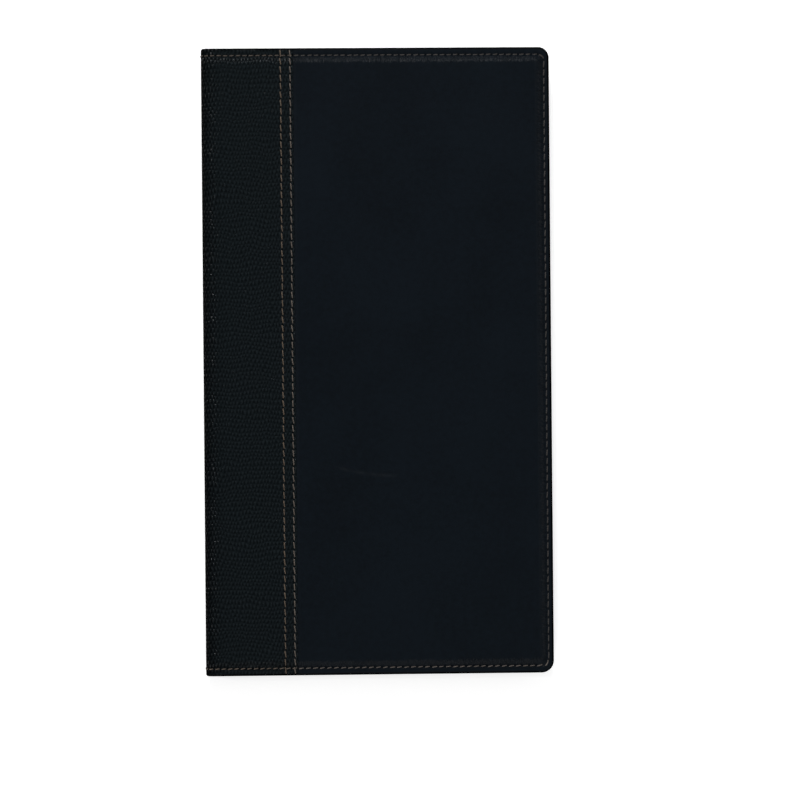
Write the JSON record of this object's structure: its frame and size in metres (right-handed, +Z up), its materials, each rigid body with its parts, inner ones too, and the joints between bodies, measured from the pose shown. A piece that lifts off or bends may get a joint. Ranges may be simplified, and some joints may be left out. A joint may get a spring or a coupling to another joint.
{
  "type": "guest check presenter",
  "caption": "Padded leatherette folder for a restaurant bill: two sewn covers hinged at a spine with a grained band, receipt pockets inside and a clear card pocket.",
  "frame": {"origin": "middle of the closed presenter's box, on the surface that the back cover lies on", "axes": "+X from the spine to the free edge, +Y from the bottom edge to the top edge, +Z up, out of the front cover"},
  "size_m": [0.127, 0.2286, 0.012],
  "materials": {
    "smooth_leatherette": "satin",
    "grained_leatherette": "satin",
    "lining": "matte",
    "thread": "satin",
    "padding": "matte",
    "greyboard": "matte",
    "clear_vinyl": "gloss"
  },
  "bodies": {
    "back_cover": {"back_panel_skin": "smooth_leatherette", "back_band": "grained_leatherette", "back_foam": "padding", "back_board": "greyboard", "back_liner": "lining", "back_receipt_pocket": "lining", "back_pocket_hem": "lining", "card_pocket_window": "clear_vinyl", "card_pocket_hem": "clear_vinyl", "card_pocket_thread": "thread", "back_edge_thread": "thread", "back_band_thread": "thread", "back_pocket_thread": "thread"},
    "spine": {"spine_band": "grained_leatherette", "spine_stiffener": "greyboard", "spine_liner": "lining", "spine_thread": "thread"},
    "front_cover": {"front_panel_skin": "smooth_leatherette", "front_band": "grained_leatherette", "front_foam": "padding", "front_board": "greyboard", "front_liner": "lining", "front_receipt_pocket": "lining", "front_pocket_hem": "lining", "front_edge_thread": "thread", "front_band_thread": "thread", "front_pocket_thread": "thread"}
  },
  "joints": [
    {"name": "back_crease", "type": "hinge", "parent": "back_cover", "child": "spine", "pos_m": [-0.06279, 0, 0.00119], "axis": [0, -1, 0], "range_deg": [0, 90]},
    {"name": "front_crease", "type": "hinge", "parent": "spine", "child": "front_cover", "pos_m": [-0.06279, 0, 0.01081], "axis": [0, -1, 0], "range_deg": [0, 90]}
  ],
  "couplings": [
    {"joint": "front_crease", "follows": "back_crease", "ratio": 1}
  ]
}
